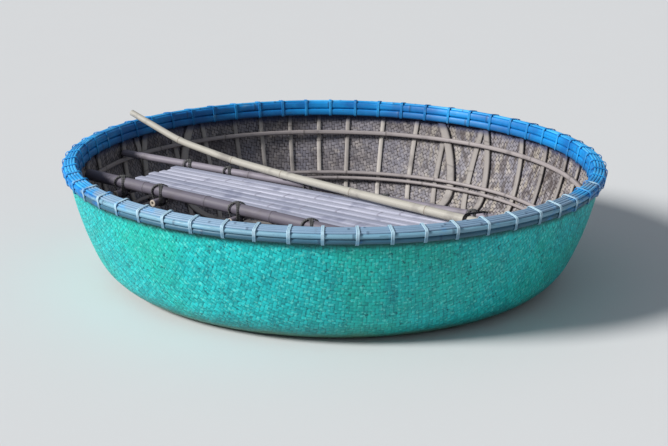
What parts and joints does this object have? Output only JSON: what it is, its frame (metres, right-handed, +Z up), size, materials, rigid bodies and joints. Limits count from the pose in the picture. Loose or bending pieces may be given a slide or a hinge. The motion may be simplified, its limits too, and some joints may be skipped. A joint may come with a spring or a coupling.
{
  "type": "basket coracle",
  "caption": "Round woven-bamboo basket coracle with lattice ribs, a lashed cane rim, inner hoops, a slatted bench and a long pole.",
  "frame": {"origin": "centre of the waterline plane, on the hull's axis, where the empty boat floats", "axes": "+Z up along the hull's axis; +Y away from the side seen first; +X to the right of that view"},
  "size_m": [1.9081, 1.9079, 0.5261],
  "materials": {
    "hull_bamboo": "woven bamboo under worn turquoise paint",
    "rim_bamboo": "split cane under worn blue paint",
    "rim_lashing": "painted nylon strip",
    "rib_bamboo": "weathered split bamboo",
    "hoop_bamboo": "weathered split cane",
    "bench_bamboo": "weathered bamboo pole",
    "slat_bamboo": "weathered split bamboo, silver grey",
    "long_pole_bamboo": "pale dry bamboo",
    "cord": "black nylon cord"
  },
  "bodies": {
    "root": {"bench_back_pole": "bench_bamboo", "bench_bearer_1": "bench_bamboo", "bench_bearer_2": "bench_bamboo", "bench_bearer_3": "bench_bamboo", "bench_bearer_4": "bench_bamboo", "bench_bearer_5": "bench_bamboo", "bench_front_pole": "bench_bamboo", "bench_slat_1": "slat_bamboo", "bench_slat_2": "slat_bamboo", "bench_slat_3": "slat_bamboo", "bench_slat_4": "slat_bamboo", "bench_slat_5": "slat_bamboo", "bench_slat_6": "slat_bamboo", "bench_slat_7": "slat_bamboo", "bench_slat_8": "slat_bamboo", "bench_ties": "cord", "hoop_lower": "hoop_bamboo", "hoop_lowest": "hoop_bamboo", "hoop_upper": "hoop_bamboo", "hull_basket": "hull_bamboo", "long_pole": "long_pole_bamboo", "long_pole_tie": "cord", "rib_cross_01": "rib_bamboo", "rib_cross_02": "rib_bamboo", "rib_cross_03": "rib_bamboo", "rib_cross_04": "rib_bamboo", "rib_cross_05": "rib_bamboo", "rib_cross_06": "rib_bamboo", "rib_cross_07": "rib_bamboo", "rib_cross_08": "rib_bamboo", "rib_cross_09": "rib_bamboo", "rib_cross_10": "rib_bamboo", "rib_cross_11": "rib_bamboo", "rib_cross_12": "rib_bamboo", "rib_fore_01": "rib_bamboo", "rib_fore_02": "rib_bamboo", "rib_fore_03": "rib_bamboo", "rib_fore_04": "rib_bamboo", "rib_fore_05": "rib_bamboo", "rib_fore_06": "rib_bamboo", "rib_fore_07": "rib_bamboo", "rib_fore_08": "rib_bamboo", "rib_fore_09": "rib_bamboo", "rib_fore_10": "rib_bamboo", "rib_fore_11": "rib_bamboo", "rib_fore_12": "rib_bamboo", "rim_cap": "rim_bamboo", "rim_inner_cane_lower": "rim_bamboo", "rim_inner_cane_upper": "rim_bamboo", "rim_lashings": "rim_lashing", "rim_outer_cane_lower": "rim_bamboo", "rim_outer_cane_upper": "rim_bamboo"}
  },
  "joints": []
}
